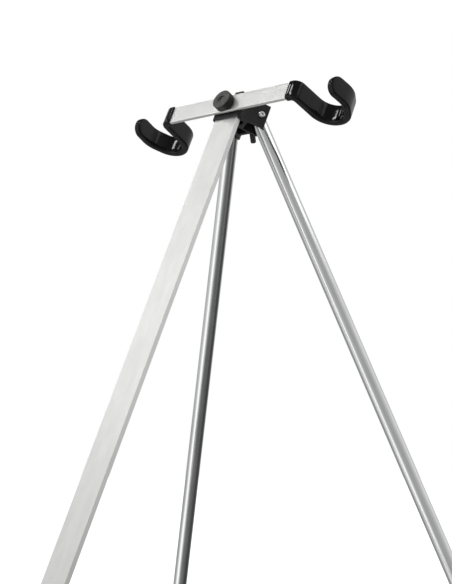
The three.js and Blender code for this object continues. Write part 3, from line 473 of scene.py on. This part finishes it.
def mesh_from(name, shape):
    """Mesh of a bmesh, with its normals outwards and its surface smooth."""
    bmesh.ops.remove_doubles(shape, verts=shape.verts, dist=WELD)
    bmesh.ops.recalc_face_normals(shape, faces=shape.faces)
    for face in shape.faces:
        face.smooth = True
    mesh = bpy.data.meshes.new(name)
    shape.to_mesh(mesh)
    shape.free()
    return mesh


def bridge(shape, rings, closed=True):
    """Quads between rings of vertices. Neighbours that coincide are welded later."""
    count = len(rings[0])
    last = count if closed else count - 1
    for lower, upper in zip(rings, rings[1:]):
        for index in range(last):
            following = (index + 1) % count
            corners = [lower[index], lower[following], upper[following], upper[index]]
            shape.faces.new(corners)


def softened(node, place, look, width):
    """Copy of a CAD solid with its edges rounded off."""
    mesh = frame["nodes"][node].data.copy()
    mesh.transform(place.inverted())
    shape = bmesh.new()
    shape.from_mesh(mesh)
    bmesh.ops.remove_doubles(shape, verts=shape.verts, dist=WELD)
    bmesh.ops.dissolve_limit(
        shape, angle_limit=FLAT_ANGLE, verts=shape.verts, edges=shape.edges)
    for face in shape.faces:
        face.smooth = True
    shape.to_mesh(mesh)
    shape.free()
    piece = add_piece(node + "_softened", mesh, place, look, node)
    bevel = piece.modifiers.new("edges", "BEVEL")
    bevel.width = width
    bevel.segments = EDGE_CUTS
    bevel.limit_method = "ANGLE"
    bevel.angle_limit = EDGE_ANGLE
    level = piece.modifiers.new("flat_faces", "WEIGHTED_NORMAL")
    level.keep_sharp = True
    return piece


def softened_by_slot(node, place, width):
    return softened(node, place, LOOK_OF_SLOT[slot_of[node]], width)


# Bent strip and sleeves
def rest_path():
    """Stations of the right-hand rest from the sleeve's start: x, y and heading."""
    stations = [(BAR_BARE_HALF, BAR_THICK / 2, 0.0)]

    def straight(length):
        x, y, heading = stations[-1]
        x += length * math.cos(heading)
        y += length * math.sin(heading)
        stations.append((x, y, heading))

    def bend(radius, turn):
        x, y, heading = stations[-1]
        swing = math.copysign(radius, turn)
        centre_x = x - swing * math.sin(heading)
        centre_y = y + swing * math.cos(heading)
        steps = math.ceil(abs(turn) / BEND_STEP)
        for step in range(1, steps + 1):
            angle = heading + turn * step / steps
            x = centre_x + swing * math.sin(angle)
            y = centre_y - swing * math.cos(angle)
            stations.append((x, y, angle))

    straight(REST_SLEEVE_LEAD)
    bend(REST_FIRST_RADIUS, REST_FIRST_TURN)
    straight(REST_INNER_ARM)
    bend(REST_CUP_RADIUS, -REST_CUP_TURN)
    straight(REST_OUTER_ARM)
    bend(REST_TIP_RADIUS, -REST_TIP_TURN)
    straight(REST_TIP_STRAIGHT)
    return stations


def onward(station, distance):
    """The station moved along its own heading."""
    x, y, heading = station
    return (x + distance * math.cos(heading), y + distance * math.sin(heading), heading)


def half_section(half_thick, half_high, edge):
    """Upper half of a strip's section, from face to face: across and up."""
    points = [(half_thick, 0.0), (half_thick, (half_high - edge) / 2)]
    for side in (1, -1):
        arc = []
        for step in range(EDGE_STEPS + 1):
            angle = math.pi / 2 * step / EDGE_STEPS
            across = half_thick - edge + edge * math.cos(angle)
            arc.append((side * across, half_high - edge + edge * math.sin(angle)))
        points.extend(arc if side > 0 else reversed(arc))
    points.append((-half_thick, (half_high - edge) / 2))
    points.append((-half_thick, 0.0))
    return points


def point_at(station, across, along, up):
    x, y, heading = station
    return Vector((
        x + along * math.cos(heading) - across * math.sin(heading),
        y + along * math.sin(heading) + across * math.cos(heading),
        up,
    ))


def section_ring(shape, station, section):
    """Ring of vertices round the strip at one station."""
    upper = [point_at(station, across, 0, up) for across, up in section]
    lower = [point_at(station, across, 0, -up) for across, up in reversed(section[1:-1])]
    return [shape.verts.new(point) for point in upper + lower]


def round_tip(shape, station, section):
    """Half-round end: the section's upper half swings down about the strip's normal."""
    rings = []
    for step in range(TIP_STEPS + 1):
        swing = math.pi * step / TIP_STEPS
        ring = [
            shape.verts.new(point_at(station, across, up * math.sin(swing), up * math.cos(swing)))
            for across, up in section
        ]
        rings.append(ring)
    bridge(shape, rings, closed=False)


def drop_flat_faces(shape):
    """Removes the faces that welding has left without an area."""
    bmesh.ops.dissolve_degenerate(shape, dist=WELD, edges=shape.edges)


def mirrored(station):
    x, y, heading = station
    return (-x, y, -heading)


def build_strip():
    """The whole bent strip, from one round tip to the other."""
    section = half_section(BAR_THICK / 2, BAR_HEIGHT / 2, BAR_EDGE)
    right = rest_path()
    left = [mirrored(station) for station in reversed(right)]
    stations = left + right
    shape = bmesh.new()
    rings = [section_ring(shape, station, section) for station in stations]
    bridge(shape, rings)
    round_tip(shape, right[-1], section)
    x, y, heading = left[0]
    round_tip(shape, (x, y, heading + math.pi), section)
    bmesh.ops.remove_doubles(shape, verts=shape.verts, dist=WELD)
    drop_flat_faces(shape)
    add_piece("crossbar_strip", mesh_from("crossbar_strip", shape), BAR, bar_look, "crossbar")


def build_sleeve(side, sign):
    """Black sleeve over one rest, with a rolled lip where the bare strip goes in."""
    shape = bmesh.new()
    path = rest_path()
    start = path[0]
    rings = []
    for step in range(EDGE_STEPS + 1):
        angle = math.pi / 2 * step / EDGE_STEPS
        inset = SLEEVE_LIP * (1 - math.sin(angle))
        back = SLEEVE_LIP * (1 - math.cos(angle))
        edge = SLEEVE_EDGE - inset
        section = half_section(SLEEVE_THICK / 2 - inset, SLEEVE_HEIGHT / 2 - inset, edge)
        rings.append(section_ring(shape, onward(start, back), section))
    section = half_section(SLEEVE_THICK / 2, SLEEVE_HEIGHT / 2, SLEEVE_EDGE)
    tip = onward(path[-1], SLEEVE_TIP_CAP)
    for station in path[1:] + [tip]:
        rings.append(section_ring(shape, station, section))
    bridge(shape, rings)
    shape.faces.new(rings[0])
    round_tip(shape, tip, section)
    bmesh.ops.remove_doubles(shape, verts=shape.verts, dist=WELD)
    drop_flat_faces(shape)
    if sign < 0:
        bmesh.ops.scale(shape, vec=(-1, 1, 1), verts=shape.verts)
    name = "rest_cover_" + side
    add_piece(name, mesh_from(name, shape), BAR, pvc_look, "rest_sleeve_" + side)


# Lathed pieces
def circle(angle):
    return 1.0


def hexagon(angle):
    return math.cos(math.pi / 6) / math.cos(angle % (math.pi / 3) - math.pi / 6)


def fluted(angle):
    return 1 - FLUTE_DEPTH_SHARE * max(0.0, math.cos(FLUTE_COUNT * angle)) ** 2


def lathe(name, profile):
    """Solid of rings, each given as radius, height and outline. The axis is z."""
    shape = bmesh.new()
    rings = []
    for radius, height, outline in profile:
        ring = []
        for index in range(ROUND_SIDES):
            angle = math.tau * index / ROUND_SIDES
            reach = radius * outline(angle)
            ring.append(shape.verts.new((reach * math.cos(angle), reach * math.sin(angle), height)))
        rings.append(ring)
    bridge(shape, rings)
    shape.faces.new(rings[0])
    shape.faces.new(rings[-1])
    return mesh_from(name, shape)


def rounded(radius, height, edge, side_up, outline=circle):
    """Ring entries round an outer edge: up the side and inwards, or the reverse."""
    entries = []
    for step in range(ROUND_STEPS + 1):
        angle = math.pi / 2 * step / ROUND_STEPS
        reach = radius - edge + edge * math.cos(angle)
        rise = edge * (math.sin(angle) - 1)
        entries.append((reach, height + (rise if side_up else -rise), outline))
    return entries if side_up else entries[::-1]


def keep_edges(piece):
    """Flat faces stay flat: edges sharper than the crease angle aren't smoothed."""
    piece.data.set_sharp_from_angle(angle=CREASE_ANGLE)


def build_clamp_knob():
    """Round knob with a shallow dish and a six-sided pocket for its nut."""
    place = axis_place("clamp_knob_turn", (1, 0, 0))
    low, high = local_box("clamp_knob", place)
    radius = high.x
    back, front = low.z, high.z
    pocket = front - KNOB_HEX_DEPTH
    dish = front - KNOB_DISH_DEPTH
    profile = rounded(radius, back, KNOB_EDGE, False)
    profile += rounded(radius, front, KNOB_EDGE, True)
    profile += [
        (KNOB_DISH_RADIUS + KNOB_DISH_DEPTH, front, circle),
        (KNOB_DISH_RADIUS, dish, circle),
        (KNOB_HEX_RADIUS, dish, hexagon),
        (KNOB_HEX_RADIUS, pocket, hexagon),
    ]
    mesh = lathe("clamp_knob_body", profile)
    # The knob's front face and dish get a painted sheen: lighter colours standing in for light falling from the
    # front
    painted_sheen_look = moulded_plastic(
        "clamp_knob_plastic_painted_sheen",
        dark=(0.006, 0.006, 0.0061),
        light=(0.012, 0.012, 0.0122),
        roughness=(0.26, 0.38),
        grain=0.6 * MM,
        sheen_height=dish - SHEEN_BLEND,
    )
    piece = add_piece("clamp_knob_body", mesh, place, painted_sheen_look, "clamp_knob")
    keep_edges(piece)


def build_tube(node, place):
    """Thin tube with both ends open."""
    low, high = local_box(node, place)
    outer = high.x
    inner = outer - TUBE_WALL
    middle = (outer + inner) / 2
    shape = bmesh.new()
    rings = []
    profile = [(inner, low.z + TUBE_EDGE), (middle, low.z), (outer, low.z + TUBE_EDGE)]
    profile += [(outer, high.z - TUBE_EDGE), (middle, high.z), (inner, high.z - TUBE_EDGE)]
    for radius, height in profile + profile[:1]:
        ring = []
        for index in range(ROUND_SIDES):
            angle = math.tau * index / ROUND_SIDES
            ring.append(shape.verts.new((radius * math.cos(angle), radius * math.sin(angle), height)))
        rings.append(ring)
    bridge(shape, rings)
    piece = add_piece(node + "_drawn", mesh_from(node, shape), place, tube_look, node)
    keep_edges(piece)


def build_small_knob(joint_name, node):
    """Fluted knob with a plain raised hub on its outer face."""
    place = axis_place(joint_name, (0, 0, 1))
    low, high = local_box(node, place)
    radius = max(high.x, high.y)
    top = high.z - SMALL_KNOB_HUB_STEP
    hub_radius = radius * SMALL_KNOB_HUB_SHARE
    profile = rounded(radius, low.z, SMALL_KNOB_EDGE, False, fluted)
    profile += rounded(radius, top, SMALL_KNOB_EDGE, True, fluted)
    profile.append((hub_radius + SMALL_KNOB_HUB_STEP, top, circle))
    profile += rounded(hub_radius, high.z, SMALL_KNOB_HUB_STEP, True)
    piece = add_piece(node + "_fluted", lathe(node, profile), place, knob_look, node)
    keep_edges(piece)


def build_ballast():
    """Short stud under the hub's rear lug, with a domed rubber cap."""
    stud = frame["nodes"]["ballast_stud"].data
    points = [vertex.co for vertex in stud.vertices]
    lowest = min(points, key=lambda point: point.z)
    highest = max(points, key=lambda point: point.z)
    axis = Vector((0, highest.y - lowest.y, highest.z - lowest.z))
    low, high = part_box("ballast_stud")
    middle = (Vector(low) + Vector(high)) / 2
    place = place_of(middle, (1, 0, 0), axis.cross(Vector((1, 0, 0))))
    softened("ballast_stud", place, steel_look, width=FASTENER_EDGE)
    softened("ballast_cap", place, cap_look, width=THIN_EDGE)


build_strip()
build_sleeve("right", 1)
build_sleeve("left", -1)
build_clamp_knob()
softened("hub", FACE, hub_look, width=HUB_EDGE)
softened("front_leg", FACE, leg_look, width=LEG_EDGE)
softened("front_foot", FACE, rubber_look, width=FOOT_EDGE)
build_ballast()
for node in ("leg_screw_right", "leg_screw_left", "clamp_stud", "friction_washer"):
    softened_by_slot(node, FACE, width=STUD_EDGE)
softened("clamp_knob_nut", axis_place("clamp_knob_turn", (1, 0, 0)), dark_look, width=NUT_EDGE)

LEG_SMALL_PARTS = (
    "hinge_plug_", "lower_tube_plug_", "lock_stud_", "hinge_screw_", "hinge_nut_")

for side in ("right", "left"):
    place = LEG[side]
    build_tube("upper_tube_" + side, place)
    build_tube("lower_tube_" + side, place)
    build_small_knob(side + "_lock_turn", "lock_knob_" + side)
    softened("lock_collar_" + side, place, hub_look, width=COLLAR_EDGE)
    softened("rear_foot_" + side, place, rubber_look, width=FOOT_EDGE)
    for part in LEG_SMALL_PARTS:
        softened_by_slot(part + side, place, width=FASTENER_EDGE)

softened("butt_bracket", FACE, hub_look, width=BRACKET_EDGE)
softened("butt_bar", FACE, bar_look, width=THIN_EDGE)
build_small_knob("butt_knob_turn", "butt_knob")
softened_by_slot("butt_stud", FACE, width=STUD_EDGE)
for side in ("right", "left"):
    softened("butt_cup_" + side, FACE, hub_look, width=THIN_EDGE)
    softened_by_slot("bracket_screw_" + side, FACE, width=FASTENER_EDGE)
    for level in ("lower", "upper"):
        softened_by_slot("cup_screw_" + side + "_" + level, FACE, width=FASTENER_EDGE)


# Stage, lights and camera
def build_floor():
    look = Look("stage_floor").fixed(
        Roughness=0.9, Specular_IOR_Level=0.2, Emission_Color=(1, 1, 1, 1), Emission_Strength=0.9)
    cloud = look.noise(even(size=400 * MM), detail=2)
    look.colours(cloud, dark=(0.86, 0.86, 0.86), light=(0.88, 0.88, 0.88))
    shape = bmesh.new()
    corners = [(-1, -1), (1, -1), (1, 1), (-1, 1)]
    shape.faces.new([
        shape.verts.new((x * FLOOR_HALF, y * FLOOR_HALF, -FLOOR_DROP)) for x, y in corners])
    mesh = mesh_from("stage_floor", shape)
    mesh.materials.append(look.material)
    floor = bpy.data.objects.new("stage_floor", mesh)
    bpy.context.scene.collection.objects.link(floor)
    floor.visible_glossy = False


def add_softbox(name, direction, width, height, brightness):
    """Soft panel at a direction from the object's head, turned towards it."""
    turn, rise = (math.radians(angle) for angle in direction)
    ray = Vector((math.cos(turn) * math.cos(rise), math.sin(turn) * math.cos(rise), math.sin(rise)))
    lamp = bpy.data.lights.new(name, "AREA")
    lamp.shape = "RECTANGLE"
    lamp.size = width
    lamp.size_y = height
    lamp.energy = brightness * math.pi * width * height
    softbox = bpy.data.objects.new(name, lamp)
    bpy.context.scene.collection.objects.link(softbox)
    softbox.location = LIGHT_AIM + ray * LIGHT_DISTANCE
    softbox.rotation_euler = (-ray).to_track_quat("-Z", "Y").to_euler()
    softbox.visible_camera = False


def build_world():
    """White to the camera. The metal reflects a room with brighter and darker walls."""
    world = bpy.data.worlds.new("studio")
    bpy.context.scene.world = world
    world.use_nodes = True
    nodes = world.node_tree.nodes
    links = world.node_tree.links
    direction = nodes.new("ShaderNodeSeparateXYZ")
    links.new(nodes.new("ShaderNodeTexCoord").outputs["Generated"], direction.inputs["Vector"])

    def result(operation, *terms):
        """Result of a sum, product or angle of sockets and numbers."""
        node = nodes.new("ShaderNodeMath")
        node.operation = operation
        for socket, term in zip(node.inputs, terms):
            if isinstance(term, (int, float)):
                socket.default_value = term
            else:
                links.new(term, socket)
        return node.outputs["Value"]

    def fade(source, start, end):
        node = nodes.new("ShaderNodeMapRange")
        node.interpolation_type = "SMOOTHSTEP"
        node.inputs["From Min"].default_value = start
        node.inputs["From Max"].default_value = end
        links.new(source, node.inputs["Value"])
        return node.outputs["Result"]

    turn = result("ARCTAN2", direction.outputs["Y"], direction.outputs["X"])
    share = result("ADD", result("DIVIDE", turn, math.tau), 0.5)

    def ring(stops):
        """Brightness all round, from stops of degrees and strength."""
        ramp = nodes.new("ShaderNodeValToRGB")
        ramp.color_ramp.interpolation = "EASE"
        elements = ramp.color_ramp.elements
        while len(elements) < len(stops):
            elements.new(1)
        for element, (degrees, strength) in zip(elements, stops):
            element.position = degrees / 360 + 0.5
            element.color = (strength / RING_TOP, strength / RING_TOP, strength / RING_TOP, 1)
        links.new(share, ramp.inputs["Fac"])
        return result("MULTIPLY", ramp.outputs["Color"], RING_TOP)

    def mixed(first, second, amount):
        """First where the amount is 0, second where it is 1."""
        change = result("SUBTRACT", second, first)
        return result("ADD", first, result("MULTIPLY", change, amount))

    height = direction.outputs["Z"]
    walls = mixed(ring(RING_BELOW), ring(RING_ABOVE), fade(height, *RING_BLEND))
    under_ceiling = mixed(walls, CEILING_GLOW, fade(height, *CEILING_BLEND))
    total = mixed(under_ceiling, GROUND_GLOW, fade(height, *GROUND_BLEND))
    seen = nodes["Background"]
    seen.inputs["Color"].default_value = (1, 1, 1, 1)
    seen.inputs["Strength"].default_value = 1.0
    lit = nodes.new("ShaderNodeBackground")
    links.new(total, lit.inputs["Strength"])
    choice = nodes.new("ShaderNodeMixShader")
    links.new(nodes.new("ShaderNodeLightPath").outputs["Is Camera Ray"], choice.inputs["Fac"])
    links.new(lit.outputs["Background"], choice.inputs[1])
    links.new(seen.outputs["Background"], choice.inputs[2])
    links.new(choice.outputs["Shader"], nodes["World Output"].inputs["Surface"])


def build_camera():
    lens = bpy.data.cameras.new("photo_camera")
    lens.sensor_width = CAMERA_SENSOR
    lens.lens = CAMERA_LENS
    lens.clip_end = CAMERA_REACH
    camera = bpy.data.objects.new("photo_camera", lens)
    bpy.context.scene.collection.objects.link(camera)
    right = CAMERA_FORWARD.cross(CAMERA_UP)
    turn = Matrix((right, CAMERA_UP, -CAMERA_FORWARD)).transposed().to_4x4()
    camera.matrix_world = Matrix.Translation(CAMERA_PLACE) @ turn
    bpy.context.scene.camera = camera


build_floor()
for name, panel in SOFTBOXES.items():
    add_softbox(name, *panel)
build_world()
build_camera()
bpy.context.scene.view_settings.view_transform = "Standard"
